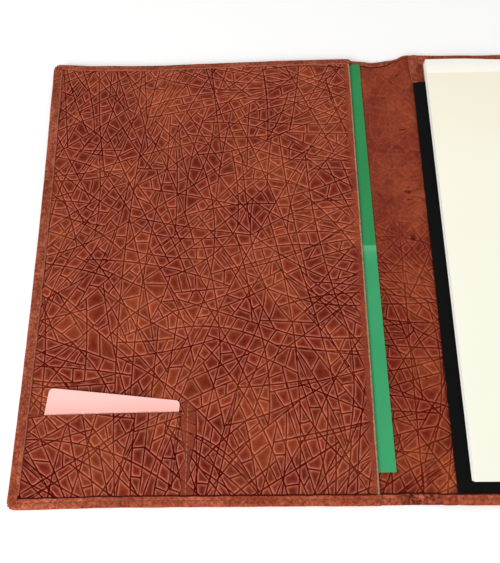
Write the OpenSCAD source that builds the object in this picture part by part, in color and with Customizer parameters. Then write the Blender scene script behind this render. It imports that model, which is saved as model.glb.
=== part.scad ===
// Open A4 leather writing folder, lying flat, with a document pocket, a card slit and a writing pad.
// X runs across the open cover with the middle of the spine at 0, Y runs along the spine, Z is up.

/* [Cover] */
// Height of the cover, along the spine
cover_h = 318; // [318:1:330]
// Width of the front and of the back, each from its outer edge to its fold
cover_w = 243; // [243:1:255]
// Width of the spine between its two folds
spine_w = 25; // [23:1:30]
// Radius of the four outer corners
corner_r = 5; // [3:0.5:8]
// Thickness of the outer leather
outer_t = 1; // [0.8:0.1:1.2]
// Thickness of the stiffener boards
board_t = 1.8; // [1.5:0.1:2.5]

/* [Hems] */
// Width of the turned hem along the outer sides and the bottom
hem_w = 8; // [6:0.5:8]
// Width of the turned hem along the top
top_hem_w = 5; // [3:0.5:6]
// Width of the narrow top hem over the spine
spine_top_hem_w = 2.5; // [2:0.1:2.8]
// Thickness of the turned leather
hem_t = 0.8; // [0.6:0.1:1]

/* [Linings] */
// Thickness of the embossed lining leather
lining_t = 0.8; // [0.6:0.1:1]
// Thickness of the black lining fabric
fabric_t = 0.4; // [0.3:0.1:0.5]

/* [Document pocket] */
// Width of the pocket panel, from the outer edge to its open edge
pocket_w = 228; // [222:1:230]
// Thickness of the pocket panel's leather
panel_t = 1; // [0.8:0.1:1.2]
// Free height inside the pocket
pocket_gap = 1.2; // [1.2:0.1:1.6]

/* [Card pocket] */
// Height of the slit above the bottom edge
slit_y = 57; // [54:0.5:60]
// Distance of the slit from the outer edge
slit_x = 13; // [12:0.5:14]
// Length of the slit
slit_l = 93; // [92:0.5:94]
// Distance of the tan stitch row from the outer edge
stitch_x = 110; // [110:0.5:112]
// Pitch of the tan stitches
stitch_pitch = 3; // [2.8:0.1:4]

/* [Card] */
// Length of the card's long side
card_w = 85.6; // [85:0.1:86]
// Length of the card's short side
card_h = 54; // [53:0.5:55]
// Thickness of the card
card_t = 0.4; // [0.3:0.05:0.5]
// Turn of the card in its pocket, clockwise
card_tilt = 5.5; // [0:0.5:6]

/* [Document] */
// Width of an A4 sheet
paper_w = 210; // [208:1:210]
// Height of an A4 sheet
paper_h = 297; // [290:1:297]
// Thickness of the green document
document_t = 0.3; // [0.2:0.05:0.35]
// Turn of the document in its pocket, anticlockwise
document_tilt = 0.6; // [0:0.1:0.6]
// How far the document's lower corner stands out of the pocket
document_out = 11.5; // [5:0.5:12.5]

/* [Pad] */
// Width of the black panel that holds the pad
pad_panel_w = 236; // [235:1:237]
// Height of the slit above the black panel
pad_slit_y = 294; // [285:1:296]
// Thickness of the pad's leaves
pages_t = 4.5; // [3:0.5:6]
// Thickness of the pad's backing board
backing_t = 0.6; // [0.4:0.1:0.6]
// Depth of the glued head of the pad
head_h = 11.5; // [8:0.5:14]
// Gap between the pad and the outer edge
pad_x = 17; // [17:0.5:20]
// Gap between the pad and the bottom edge
pad_y = 15; // [14:0.5:17]

/* [Hidden] */
$fn = 48;

// Clearances
edge_gap = 0.2;      // between the turned edge and what it encloses
free_gap = 0.3;      // between pieces that slide on one another
fold_gap = 0.2;      // from a fold to the outer leather of a cover
spine_fold_gap = 0.8; // from a fold to the spine
fold_relief = 3;     // from a fold to the upper layers of a cover
slab_over = 1;       // how far a cutting shape runs past what it cuts

// Levels of the layers in both covers
z_board = outer_t;
z_lining = z_board + board_t;
z_pocket = z_lining + lining_t;
z_panel = z_pocket + pocket_gap;
z_hem = z_panel + panel_t;
z_hem_top = z_hem + hem_t;
z_fabric_top = z_lining + fabric_t;
z_band_top = z_fabric_top + lining_t;
pad_panel_t = 0.6;
z_pad_panel = z_hem - pad_panel_t;
z_backing = z_pad_panel - free_gap - backing_t;
z_pages = z_hem + free_gap;
z_pages_top = z_pages + pages_t;

inset = outer_t + edge_gap;
layer_w = cover_w - fold_relief;
flange_w = hem_w - edge_gap;
strip_overlap = 4;   // of the lining strip under the black panel
strip_x = pad_panel_w - strip_overlap;
spine_half = spine_w / 2 - spine_fold_gap;

// Card pocket: the card rises through the slit at a slight slope
flap_wall = 2;
flap_t = 0.8;
card_x = 15;
card_y = 19.5;
card_r = 3;
z_card = z_panel + free_gap;
card_slope = atan((z_hem + free_gap - z_card) / (slit_y - hem_w));
z_flap_under = z_card + card_t + free_gap;
z_over_flap = z_hem_top + 2; // above the highest part of the flap
backing_over = 6.5;
backing_side = 3;    // how far the backing runs past the stitch row
pocket_backing_t = 0.3;

// Document: it lies halfway up the pocket's free height below the card pocket
document_top_gap = 1.5;
z_document = z_pocket + 0.25;

// Stitches
thread_w = 0.6;
thread_t = 0.25;
stitch_l = 2.2;
stitch_w = 0.8;
stitch_t = 0.3;
stitch_start = 1;    // from the bottom hem to the first tan stitch

// Pad
pad_corner_r = 2;
tape_t = 0.2;

leather_red = [0.52, 0.20, 0.14];
hem_red = [0.50, 0.22, 0.16];

// The front cover's own frame: X from the outer edge towards the fold, Y up from the bottom edge
module on_front() {
    translate([-spine_w / 2 - cover_w, -cover_h / 2, 0]) children();
}

// The back cover's own frame is the mirror image of the front cover's
module on_back() {
    mirror([1, 0, 0]) on_front() children();
}

module block(x0, x1, y0, y1, z0, z1) {
    translate([x0, y0, z0]) cube([x1 - x0, y1 - y0, z1 - z0]);
}

module rounded_rectangle(w, h, r) {
    union() {
        translate([r, 0]) square([w - 2 * r, h]);
        translate([0, r]) square([w, h - 2 * r]);
        for (x = [r, w - r], y = [r, h - r]) translate([x, y]) circle(r);
    }
}

// Plan of a cover layer, set in from the edge, with its two outer corners rounded
module layer_outline(inward, x_end, y_end) {
    r = corner_r - inward;
    square_top = y_end < cover_h - inward;
    top = square_top ? y_end : cover_h - inward;
    union() {
        translate([inward + r, inward]) square([x_end - inward - r, top - inward]);
        translate([inward, inward + r]) square([r, top - inward - (square_top ? 1 : 2) * r]);
        translate([inward + r, inward + r]) circle(r);
        if (!square_top) translate([inward + r, top - r]) circle(r);
    }
}

module layer(z0, z1, x_end = layer_w, y_end = cover_h) {
    translate([0, 0, z0]) linear_extrude(z1 - z0) layer_outline(inset, x_end, y_end);
}

// One stretch of turned edge: the wall up from the outer leather and the hem folded in over the layers
module turned_edge(x0, x1, y0, y1, hem_z) {
    translate([0, 0, outer_t]) linear_extrude(hem_z - outer_t) intersection() {
        difference() {
            layer_outline(0, cover_w, cover_h);
            layer_outline(outer_t, cover_w + slab_over, cover_h);
        }
        translate([x0, y0]) square([x1 - x0, y1 - y0]);
    }
    translate([0, 0, hem_z]) linear_extrude(hem_t) intersection() {
        layer_outline(0, cover_w, cover_h);
        translate([x0, y0]) square([x1 - x0, y1 - y0]);
    }
}

module outer_sheet() {
    linear_extrude(outer_t) layer_outline(0, cover_w - fold_gap, cover_h);
}

// The low turned edges between a panel's edge and the fold
module turned_edges_beside(panel_edge, top_hem_z) {
    turned_edge(panel_edge, layer_w, 0, hem_w, z_pocket);
    turned_edge(panel_edge, layer_w, cover_h - spine_top_hem_w, cover_h, top_hem_z);
}

module front_outer_leather() {
    color(hem_red) on_front() union() {
        outer_sheet();
        turned_edge(0, hem_w, 0, cover_h, z_hem);
        turned_edge(0, pocket_w, 0, hem_w, z_hem);
        turned_edge(0, pocket_w, cover_h - top_hem_w, cover_h, z_hem);
        turned_edges_beside(pocket_w, z_panel);
    }
}

module front_stiffener_board() {
    color("burlywood") on_front() layer(z_board, z_lining);
}

module front_lining_leather() {
    color(leather_red) on_front() layer(z_lining, z_pocket);
}

// The space below a plane that rises from the bottom hem towards the slit
module below_slope(z_at_hem) {
    intersection() {
        children();
        translate([0, hem_w, z_at_hem]) rotate([card_slope, 0, 0])
            translate([-cover_w, -cover_h, -cover_h]) cube([3 * cover_w, 3 * cover_h, cover_h]);
    }
}

module card_cavity() {
    below_slope(z_flap_under)
        block(slit_x, slit_x + slit_l, hem_w + flap_wall, slit_y + edge_gap,
              z_panel - slab_over, z_over_flap);
}

module card_flap() {
    below_slope(z_flap_under + flap_t)
        block(slit_x - flap_wall, slit_x + slit_l + flap_wall, hem_w + edge_gap, slit_y,
              z_panel, z_over_flap);
}

// Sewn down at the outer side and the bottom, and held by the hem alone at the top
module document_pocket_panel() {
    color(leather_red) on_front() difference() {
        union() {
            layer(z_panel, z_hem, pocket_w);
            card_flap();
            intersection() {
                layer(z_pocket, z_panel, pocket_w);
                union() {
                    block(0, flange_w, 0, cover_h, z_pocket, z_panel);
                    block(0, pocket_w, 0, flange_w, z_pocket, z_panel);
                }
            }
        }
        card_cavity();
    }
}

module card_pocket_backing() {
    color("saddlebrown") on_front()
        block(hem_w + edge_gap, stitch_x + backing_side, hem_w + edge_gap, slit_y + backing_over,
              z_panel - pocket_backing_t, z_panel);
}

module card_pocket_stitching() {
    first = hem_w + stitch_start;
    count = floor((slit_y + backing_over - first) / stitch_pitch);
    color([0.78, 0.60, 0.42]) on_front()
        for (i = [0 : count - 1])
            translate([stitch_x - stitch_w / 2, first + i * stitch_pitch, z_hem])
                cube([stitch_w, stitch_l, stitch_t]);
}

// One straight run of seam thread lying on a hem
module thread_x(x0, x1, y, z) {
    block(x0, x1, y - thread_w / 2, y + thread_w / 2, z, z + thread_t);
}

module thread_y(x, y0, y1, z) {
    block(x - thread_w / 2, x + thread_w / 2, y0, y1, z, z + thread_t);
}

module front_seam_thread() {
    seam = hem_w / 2;
    top_seam = cover_h - top_hem_w / 2;
    color("indianred") on_front() {
        union() {
            thread_y(seam, seam, top_seam, z_hem_top);
            thread_x(seam - thread_w / 2, pocket_w, seam, z_hem_top);
            thread_x(seam - thread_w / 2, pocket_w, top_seam, z_hem_top);
        }
        thread_x(pocket_w, layer_w, seam, z_pocket + hem_t);
        thread_x(pocket_w, layer_w, cover_h - spine_top_hem_w / 2, z_panel + hem_t);
    }
}

module business_card() {
    color("pink") on_front()
        translate([0, hem_w, z_card]) rotate([card_slope, 0, 0])
            translate([card_x, card_y - hem_w, 0]) rotate([0, 0, -card_tilt])
                linear_extrude(card_t) rounded_rectangle(card_w, card_h, card_r);
}

module green_document() {
    low_corner = [pocket_w + document_out, cover_h - paper_h - document_top_gap, z_document];
    color([0.27, 0.66, 0.43]) on_front()
        translate(low_corner) rotate([0, 0, document_tilt])
            translate([-paper_w, 0, 0]) cube([paper_w, paper_h, document_t]);
}

module spine_slab(y0, y1, z0, z1) {
    block(-spine_half, spine_half, y0 - cover_h / 2, y1 - cover_h / 2, z0, z1);
}

module spine_outer_leather() {
    z_turn = outer_t + lining_t;
    color(hem_red) union() {
        spine_slab(0, cover_h, 0, outer_t);
        spine_slab(0, outer_t, 0, z_turn + hem_t);
        spine_slab(0, hem_w, z_turn, z_turn + hem_t);
        spine_slab(cover_h - outer_t, cover_h, 0, z_turn + hem_t);
        spine_slab(cover_h - spine_top_hem_w, cover_h, z_turn, z_turn + hem_t);
    }
}

module spine_lining_leather() {
    color(leather_red) spine_slab(inset, cover_h - inset, outer_t, outer_t + lining_t);
}

module spine_seam_thread() {
    z = outer_t + lining_t + hem_t;
    color("indianred") translate([0, -cover_h / 2, 0]) {
        thread_x(-spine_half, spine_half, hem_w / 2, z);
        thread_x(-spine_half, spine_half, cover_h - spine_top_hem_w / 2, z);
    }
}

module back_outer_leather() {
    color(hem_red) on_back() union() {
        outer_sheet();
        turned_edge(0, hem_w, 0, cover_h, z_hem);
        turned_edge(0, pad_panel_w, 0, hem_w, z_hem);
        turned_edge(hem_w, strip_x - edge_gap, cover_h - top_hem_w, cover_h, z_fabric_top);
        turned_edge(strip_x - edge_gap, pad_panel_w, cover_h - top_hem_w, cover_h, z_pocket);
        turned_edges_beside(pad_panel_w, z_pocket);
    }
}

module back_stiffener_board() {
    color("burlywood") on_back() layer(z_board, z_lining);
}

module back_lining_fabric() {
    color([0.1, 0.1, 0.1]) on_back() layer(z_lining, z_fabric_top, strip_x - edge_gap);
}

module back_lining_strip() {
    color(leather_red) on_back()
        block(strip_x, layer_w, inset, cover_h - inset, z_lining, z_pocket);
}

module top_band_leather() {
    color(hem_red) on_back()
        block(hem_w + edge_gap, strip_x - edge_gap,
              pad_slit_y, cover_h - top_hem_w - edge_gap, z_fabric_top, z_band_top);
}

// Black panel in front of the pad's backing board, open along its top edge
module pad_pocket_panel() {
    color([0.08, 0.08, 0.08]) on_back() union() {
        layer(z_pad_panel, z_hem, pad_panel_w, pad_slit_y);
        intersection() {
            layer(z_fabric_top, z_pad_panel, strip_x - edge_gap, pad_slit_y);
            union() {
                block(0, flange_w, 0, pad_slit_y, z_fabric_top, z_pad_panel);
                block(0, pad_panel_w, 0, flange_w, z_fabric_top, z_pad_panel);
            }
        }
        block(strip_x + edge_gap, pad_panel_w, inset, pad_slit_y, z_pocket, z_pad_panel);
    }
}

module back_seam_thread() {
    seam = hem_w / 2;
    color("indianred") on_back() {
        union() {
            thread_y(seam, seam, cover_h - seam, z_hem_top);
            thread_x(seam - thread_w / 2, pad_panel_w, seam, z_hem_top);
        }
        thread_x(hem_w + edge_gap, strip_x - edge_gap, cover_h - top_hem_w / 2, z_fabric_top + hem_t);
        thread_x(pad_panel_w, layer_w, seam, z_pocket + hem_t);
        thread_x(pad_panel_w, layer_w, cover_h - spine_top_hem_w / 2, z_pocket + hem_t);
    }
}

module pad_pages() {
    color("ivory") on_back() translate([pad_x, pad_y, z_pages])
        linear_extrude(pages_t) rounded_rectangle(paper_w, paper_h, pad_corner_r);
}

module pad_backing_board() {
    color("tan") on_back() translate([pad_x, pad_y, z_backing])
        linear_extrude(backing_t) rounded_rectangle(paper_w, paper_h, pad_corner_r);
}

module pad_head_glue() {
    top = pad_y + paper_h;
    color("white") on_back()
        block(pad_x + pad_corner_r, pad_x + paper_w - pad_corner_r,
              top - head_h, top, z_backing + backing_t, z_pages);
}

module pad_head_tape() {
    top = pad_y + paper_h;
    color("whitesmoke") on_back() union() {
        block(pad_x + pad_corner_r, pad_x + paper_w - pad_corner_r,
              top - head_h, top + tape_t, z_pages_top, z_pages_top + tape_t);
        block(pad_x + pad_corner_r, pad_x + paper_w - pad_corner_r,
              top, top + tape_t, z_backing, z_pages_top + tape_t);
    }
}

front_outer_leather();
front_stiffener_board();
front_lining_leather();
document_pocket_panel();
card_pocket_backing();
card_pocket_stitching();
front_seam_thread();
business_card();
green_document();
spine_outer_leather();
spine_lining_leather();
spine_seam_thread();
back_outer_leather();
back_stiffener_board();
back_lining_fabric();
back_lining_strip();
top_band_leather();
pad_pocket_panel();
back_seam_thread();
pad_pages();
pad_backing_board();
pad_head_glue();
pad_head_tape();
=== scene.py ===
"""Open A4 leather folder: embossed cover, card in its slit, green sheet, black panel and pad.

Shapes are worked out in millimetres in the row frame, X across the cover and Y along the spine,
and written to the meshes in metres.
"""
import math
import random

import bmesh
import bpy
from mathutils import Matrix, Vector, geometry, noise


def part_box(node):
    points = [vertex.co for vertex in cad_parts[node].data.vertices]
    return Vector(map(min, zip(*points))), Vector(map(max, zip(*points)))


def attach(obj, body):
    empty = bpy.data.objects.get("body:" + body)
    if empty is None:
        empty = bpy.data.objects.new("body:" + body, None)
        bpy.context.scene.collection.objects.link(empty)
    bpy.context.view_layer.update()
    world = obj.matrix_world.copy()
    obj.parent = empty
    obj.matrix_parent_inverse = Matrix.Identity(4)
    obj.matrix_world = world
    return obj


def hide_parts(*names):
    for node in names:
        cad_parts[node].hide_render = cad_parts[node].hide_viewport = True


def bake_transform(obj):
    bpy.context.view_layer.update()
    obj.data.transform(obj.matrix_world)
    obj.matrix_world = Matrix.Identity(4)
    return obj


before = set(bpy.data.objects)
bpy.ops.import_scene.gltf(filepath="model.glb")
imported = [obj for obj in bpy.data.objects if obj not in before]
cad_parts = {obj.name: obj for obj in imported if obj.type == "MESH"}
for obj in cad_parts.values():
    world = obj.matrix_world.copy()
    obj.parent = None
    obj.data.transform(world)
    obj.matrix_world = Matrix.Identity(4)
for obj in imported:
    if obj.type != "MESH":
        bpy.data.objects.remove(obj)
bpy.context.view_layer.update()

MM = 0.001


def node_box(node):
    """A CAD node's lowest and highest corners, in millimetres."""
    low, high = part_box(node)
    return [v / MM for v in low], [v / MM for v in high]


# ---------------------------------------------------------------- sizes, from the frame

COVER = node_box("front_outer_leather")
PANEL = node_box("document_pocket_panel")
LINING = node_box("front_lining_leather")
BAND = node_box("top_band_leather")
BLACK = node_box("pad_pocket_panel")
PAGES = node_box("pad_pages")
TAPE = node_box("pad_head_tape")
SHEET = node_box("green_document")
ROW = node_box("card_pocket_stitching")

HALF_W = -COVER[0][0]
HALF_H = COVER[1][1]
HEM_TOP = COVER[1][2]
LEATHER_T = 1.0
TURNED_T = 0.8         # thickness of the turned-in leather
LINING_T = 0.8
PANEL_T = 0.62
PANEL_TOP = HEM_TOP - TURNED_T
PANEL_RIGHT = PANEL[1][0]
FOLD_X = 12.5          # the hinge lines lie at plus and minus this
CORNER_R = 5.0
HEM_W = 8.0
TOP_HEM_W = 5.0
SPINE_TOP_HEM_W = 2.5
BACK_HEM_Z = 4.0       # height of the top hem beside the pad
PITCH = 3.0            # of the stitches

SLIT_Y = -HALF_H + 56.7
SLIT_X = (-HALF_W + 13.0, -HALF_W + 106.0)
SLIT_RISE = 0.012      # the slit climbs a little towards the spine
ROW_X = (ROW[0][0] + ROW[1][0]) / 2
CARD_TILT = math.radians(6.0)
CARD_SIZE = (85.6, 54.0)
CARD_T = 0.4
CARD_R = 3.0
CARD_LOW = (-HALF_W + 14.2, -HALF_H + 19.2)
SHEET_TILT = math.radians(0.7)
SHEET_SIZE = (210.0, 294.0)
SHEET_T = 0.3
SHEET_RIGHT_X = PANEL_RIGHT + 11.5
SHEET_LOW_Y = -HALF_H + 20.0
CREASE_Y = SHEET_LOW_Y + SHEET_SIZE[1] / 2


def clamp(t, low=0.0, high=1.0):
    return max(low, min(high, t))


def smooth(a, b, t):
    """0 below a, 1 above b, smooth between; a may be the higher one."""
    s = clamp((t - a) / (b - a))
    return s * s * (3 - 2 * s)


def mix(a, b, t):
    return a + (b - a) * t


def wave(x, y, scale, seed=0.0):
    """Smooth noise from -1 to 1, with features about scale millimetres wide."""
    return noise.noise(Vector((x / scale + seed, y / scale - seed, seed * 1.7)))


# ---------------------------------------------------------------- how the worn cover has settled

LEFT_BOW = 1.9         # the outer side bows in at mid height
LEFT_DRAWN_IN = 0.6    # the outer hem is a little narrow
BOTTOM_DRAWN_IN = 1.0  # so is the bottom hem
CORNER_SAG = 1.2       # the outer bottom corner hangs down
TOP_EDGE = (           # how far the top edge stands out, at places across the cover
    (-256, 0.5), (-218, -1.8), (-180, -2.7), (-141, -1.85), (-64, -0.4), (-30, -0.35), (-11, -1.8),
    (4, -0.35), (12, 0.75), (26, 3.5), (42, 3.0), (80, 2.3),
)


def along(profile, x):
    """Value at x on a profile of (x, value) points, smooth between them."""
    for (xa, va), (xb, vb) in zip(profile, profile[1:]):
        if x <= xb:
            return mix(va, vb, smooth(xa, xb, x))
    return profile[-1][1]


def settle(x, y, z):
    """Where a point of the ideal cover lies on the worn one."""
    t = clamp((-FOLD_X - x) / (HALF_W - FOLD_X))
    up, down = max(0.0, y / HALF_H), max(0.0, -y / HALF_H)
    dx = LEFT_BOW * (1 - (y / HALF_H) ** 2) * t
    dx += LEFT_DRAWN_IN * smooth(-HALF_W + HEM_W, -HALF_W, x)
    dy = along(TOP_EDGE, x) * up ** 3
    dy -= CORNER_SAG * smooth(-185, -HALF_W, x) * down ** 3
    dy += BOTTOM_DRAWN_IN * smooth(-HALF_H + HEM_W, -HALF_H, y)
    return Vector(((x + dx) * MM, (y + dy) * MM, z * MM))


PROFILE = (  # height of the lining's upper face across the spine
    (-60, 3.6), (-16.5, 3.6), (-9, 2.4), (-3, 2.2), (4, 2.8), (8.5, 3.3), (14, 6.1), (17, 5.9),
    (20, 4.7), (60, 4.6),
)


def lining_z(x, y):
    """Height of the lining over the spine, with soft waves and a higher ridge at the top."""
    base = along(PROFILE, x)
    loose = smooth(-13, -6, x) * smooth(20, 13, x) * mix(1.0, 0.5, smooth(2, 7, x))
    ridge = smooth(4, 13, x) * smooth(19, 14, x) * smooth(95, 150, y)
    return base + loose * 0.4 * wave(x * 2.2, y, 26, 3.1) + 0.3 * ridge


# ---------------------------------------------------------------- mesh helpers

def new_object(name, bm, materials):
    """A piece from a bmesh in metres."""
    bm.normal_update()
    mesh = bpy.data.meshes.new(name)
    bm.to_mesh(mesh)
    bm.free()
    mesh.shade_smooth()
    for material in materials:
        mesh.materials.append(material)
    piece = bpy.data.objects.new(name, mesh)
    bpy.context.scene.collection.objects.link(piece)
    return piece


def arc(cx, cy, r, start, turn, steps):
    """Points on an arc, from the angle start through the angle turn, both in degrees."""
    angles = [math.radians(start + turn * k / steps) for k in range(steps + 1)]
    return [(cx + r * math.cos(a), cy + r * math.sin(a)) for a in angles]


def faces_between(bm, a, b):
    """Faces that join two rings with the same number of points."""
    count = len(a)
    return [bm.faces.new((a[i], a[(i + 1) % count], b[(i + 1) % count], b[i]))
            for i in range(count)]


def join_rings(bm, rings):
    """Faces between each ring of points and the next, and over the first and the last ring."""
    for a, b in zip(rings, rings[1:]):
        faces_between(bm, a, b)
    bm.faces.new(rings[0])
    bm.faces.new(rings[-1])


# ---------------------------------------------------------------- embossed relief

LINE_DENSITY = 0.345  # millimetres of emboss line in each square millimetre
LARGEST_CELL = 85.0   # square millimetres
TRIES = 8             # places tried for each new line, the emptiest of which is kept
DIVIDING_TRIES = 5    # directions tried for a line that divides a cell, the shortest is kept
HALF_LENGTH = (12, 50)
BEND = 0.0022         # spread of the lines' bends, radians in each millimetre
OVERSHOOT = 0.03      # how far a line runs past the one it ends on
BLOCK = 4.0           # size of the squares in which the lines are looked up
STEP = 7.0            # length of the straight parts of a line
DEPTH = 0.5           # depth of a groove
RINGS = (              # distance in from a groove's middle, height, largest share of the way in
    (0.34, -0.36, 0.34), (0.66, 0.0, 0.62), (1.75, 0.07, 0.85),
)
MIDDLE_LIFT = 0.09     # height of a cell's middle
LEAN = 0.03            # spread of the cells' slopes
LARGEST_TILT = 0.08    # a slope lifts or lowers a point by no more than this
SMALLEST_CELL = 0.4    # square millimetres; smaller cells stay flat
# The pale step at the cells' rims is a painted highlight.
TONES = (              # distance from a groove's middle, paleness
    (0.0, 0.0), (0.36, 0.04), (0.66, 1.0), (0.95, 0.85), (1.6, 0.34), (2.8, 0.17),
)
PLAIN_TONE = 0.42
RUBBED_LINE, RUBBED_CELL = 0.80, 0.42  # tones where the emboss is rubbed


def tone_at(distance):
    """Paleness of the leather at a distance from a groove's middle: dark, then a painted highlight
    along the cell's rim, then deep.
    """
    for (da, ta), (db, tb) in zip(TONES, TONES[1:]):
        if distance <= db:
            return mix(ta, tb, (distance - da) / (db - da))
    return TONES[-1][1]


class DrawnLines:
    """The emboss lines drawn so far, kept by the square they are in."""

    def __init__(self):
        self.squares = {}
        self.crowd = {}

    def near(self, a, b):
        for i in range(int(min(a[0], b[0]) // BLOCK), int(max(a[0], b[0]) // BLOCK) + 1):
            for j in range(int(min(a[1], b[1]) // BLOCK), int(max(a[1], b[1]) // BLOCK) + 1):
                yield i, j

    def add(self, line):
        for a, b in zip(line, line[1:]):
            for square in self.near(a, b):
                self.squares.setdefault(square, []).append((a, b))
        for i, j in {(int(x // BLOCK), int(y // BLOCK)) for x, y in dense(line)}:
            for di in (-1, 0, 1):
                for dj in (-1, 0, 1):
                    square = (i + di, j + dj)
                    self.crowd[square] = self.crowd.get(square, 0) + 4 // (1 + abs(di) + abs(dj))

    def crowding(self, line):
        """How busy the neighbourhood of a line is, on average."""
        seen = [self.crowd.get((int(x // BLOCK), int(y // BLOCK)), 0) for x, y in dense(line)]
        return sum(seen) / max(1, len(seen))

    def first_hit(self, a, b):
        """Where the step from a to b first meets a drawn line, as a share of the step."""
        hits = []
        for square in self.near(a, b):
            for c, d in self.squares.get(square, ()):
                rx, ry = b[0] - a[0], b[1] - a[1]
                qx, qy = d[0] - c[0], d[1] - c[1]
                cross = rx * qy - ry * qx
                if abs(cross) < 1e-9:
                    continue
                t = ((c[0] - a[0]) * qy - (c[1] - a[1]) * qx) / cross
                u = ((c[0] - a[0]) * ry - (c[1] - a[1]) * rx) / cross
                if 0 <= t <= 1 and 0 <= u <= 1:
                    hits.append(t)
        return min(hits, default=None)


def emboss_lines(x0, x1, y0, y1, rng, drawn):
    """Long slightly curved lines in all directions, spread evenly; each ends on another line."""
    goal = LINE_DENSITY * (x1 - x0) * (y1 - y0)
    total, lines = 0.0, []
    while total < goal:
        tries = []
        for _ in range(TRIES):
            curve = random_curve(x0, x1, y0, y1, rng)
            half = rng.uniform(*HALF_LENGTH)
            crowding = drawn.crowding([curve(-half), curve(0), curve(half)])
            tries.append((crowding, len(tries), curve, half))
        _, _, curve, half = min(tries)
        steps = int(2 * half / STEP) + 1
        line = [curve(mix(-half, half, i / steps)) for i in range(steps + 1)]
        line = (carried_on(curve, -half, -STEP, drawn, (x0, x1, y0, y1))[::-1] + line
                + carried_on(curve, half, STEP, drawn, (x0, x1, y0, y1)))
        for part in clipped(line, x0, x1, y0, y1):
            drawn.add(part)
            lines.append(part)
            total += sum(math.dist(a, b) for a, b in zip(part, part[1:]))
    return lines


def dividing_lines(cells, points, area, rng, drawn):
    """A short line across the middle of each cell that is too large."""
    lines = []
    for loop, _ in cells:
        centre, size = centre_and_area([points[i] for i in loop])
        if size > LARGEST_CELL:
            tries = []
            for _ in range(DIVIDING_TRIES):
                curve = random_curve(centre[0], centre[0], centre[1], centre[1], rng)
                line = (carried_on(curve, 0.0, -STEP, drawn, area)[::-1] + [curve(0.0)]
                        + carried_on(curve, 0.0, STEP, drawn, area))
                tries.append((sum(math.dist(a, b) for a, b in zip(line, line[1:])), line))
            line = min(tries)[1]
            for part in clipped(line, *area):
                drawn.add(part)
                lines.append(part)
    return lines


def random_curve(x0, x1, y0, y1, rng):
    angle = rng.uniform(0, math.pi)
    x, y = rng.uniform(x0, x1), rng.uniform(y0, y1)
    bend = rng.gauss(0, BEND)
    return lambda s: (x + s * math.cos(angle + bend * s), y + s * math.sin(angle + bend * s))


def carried_on(curve, s, step, drawn, area):
    """The points that carry a line on from s until it meets another line or leaves the area."""
    x0, x1, y0, y1 = area
    here, points = curve(s), []
    while x0 < here[0] < x1 and y0 < here[1] < y1:
        there = curve(s + step)
        hit = drawn.first_hit(here, there)
        if hit is not None:
            t = hit + OVERSHOOT / STEP
            points.append((mix(here[0], there[0], t), mix(here[1], there[1], t)))
            return points
        points.append(there)
        here, s = there, s + step
    return points


def dense(line):
    """Points at most about 2 mm apart along a line."""
    for a, b in zip(line, line[1:]):
        count = int(math.dist(a, b) / 2) + 1
        for i in range(count):
            yield mix(a[0], b[0], i / count), mix(a[1], b[1], i / count)


def clipped(line, x0, x1, y0, y1):
    """The stretches of a line that lie inside a rectangle."""
    parts = [[]]
    for a, b in zip(line, line[1:]):
        t0, t1 = 0.0, 1.0
        d = (b[0] - a[0], b[1] - a[1])
        for p, q in ((-d[0], a[0] - x0), (d[0], x1 - a[0]), (-d[1], a[1] - y0), (d[1], y1 - a[1])):
            if p == 0:
                if q < 0:
                    t0, t1 = 1.0, 0.0
            elif p < 0:
                t0 = max(t0, q / p)
            else:
                t1 = min(t1, q / p)
        if t0 >= t1:
            parts.append([])
            continue
        start = (a[0] + d[0] * t0, a[1] + d[1] * t0)
        end = (a[0] + d[0] * t1, a[1] + d[1] * t1)
        if not parts[-1] or t0 > 0:
            parts.append([start])
        parts[-1].append(end)
        if t1 < 1:
            parts.append([])
    return [part for part in parts if len(part) > 1]


def arrangement(x0, x1, y0, y1, lines, plain_lines=()):
    """Splits the rectangle along the lines. Gives the points, the cells as loops of point numbers,
    and which points lie on an emboss line."""
    points, edges, embossed = [], [], []

    def add(line, is_emboss, closed=False):
        first = len(points)
        points.extend(Vector(p) for p in line)
        count = len(line)
        for i in range(count if closed else count - 1):
            edges.append((first + i, first + (i + 1) % count))
            embossed.append(is_emboss)

    add([(x0, y0), (x1, y0), (x1, y1), (x0, y1)], False, closed=True)
    for line in lines:
        add(line, True)
    for line in plain_lines:
        add(line, False)
    verts, out_edges, faces, _, edge_from, _ = geometry.delaunay_2d_cdt(
        points, edges, [], 0, 1e-5, True)
    wall = {}
    for pair, sources in zip(out_edges, edge_from):
        sources = [s for s in sources if s < len(edges)]
        if sources:
            wall[frozenset(pair)] = any(embossed[s] for s in sources)
    owner = {}
    for f, loop in enumerate(faces):
        for a, b in zip(loop, loop[1:] + loop[:1]):
            owner[(a, b)] = f
    group = list(range(len(faces)))

    def root(f):
        while group[f] != f:
            group[f] = group[group[f]]
            f = group[f]
        return f

    for (a, b), f in owner.items():
        if frozenset((a, b)) not in wall and (b, a) in owner:
            group[root(f)] = root(owner[(b, a)])
    inside, widest = {}, {}
    for f, loop in enumerate(faces):
        spot, area = centre_and_area([verts[i] for i in loop])
        if area > widest.get(root(f), -1.0):
            widest[root(f)] = area
            inside[root(f)] = spot
    after = {}
    on_line = set()
    for (a, b), f in owner.items():
        g = root(f)
        if (b, a) in owner and root(owner[(b, a)]) == g:
            continue
        after.setdefault(g, {}).setdefault(a, []).append(b)
        if wall.get(frozenset((a, b))):
            on_line.update((a, b))
    cells = []
    for g, links in after.items():
        while links:
            start = next(iter(links))
            loop = [start, links[start].pop()]
            while loop[-1] != start and links.get(loop[-1]):
                loop.append(next_corner(verts, loop[-2], loop[-1], links[loop[-1]]))
            for corner in loop:
                if corner in links and not links[corner]:
                    del links[corner]
            if len(loop) > 3:
                cells.append((loop[:-1], inside[g]))
    return [tuple(v) for v in verts], cells, on_line


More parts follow.
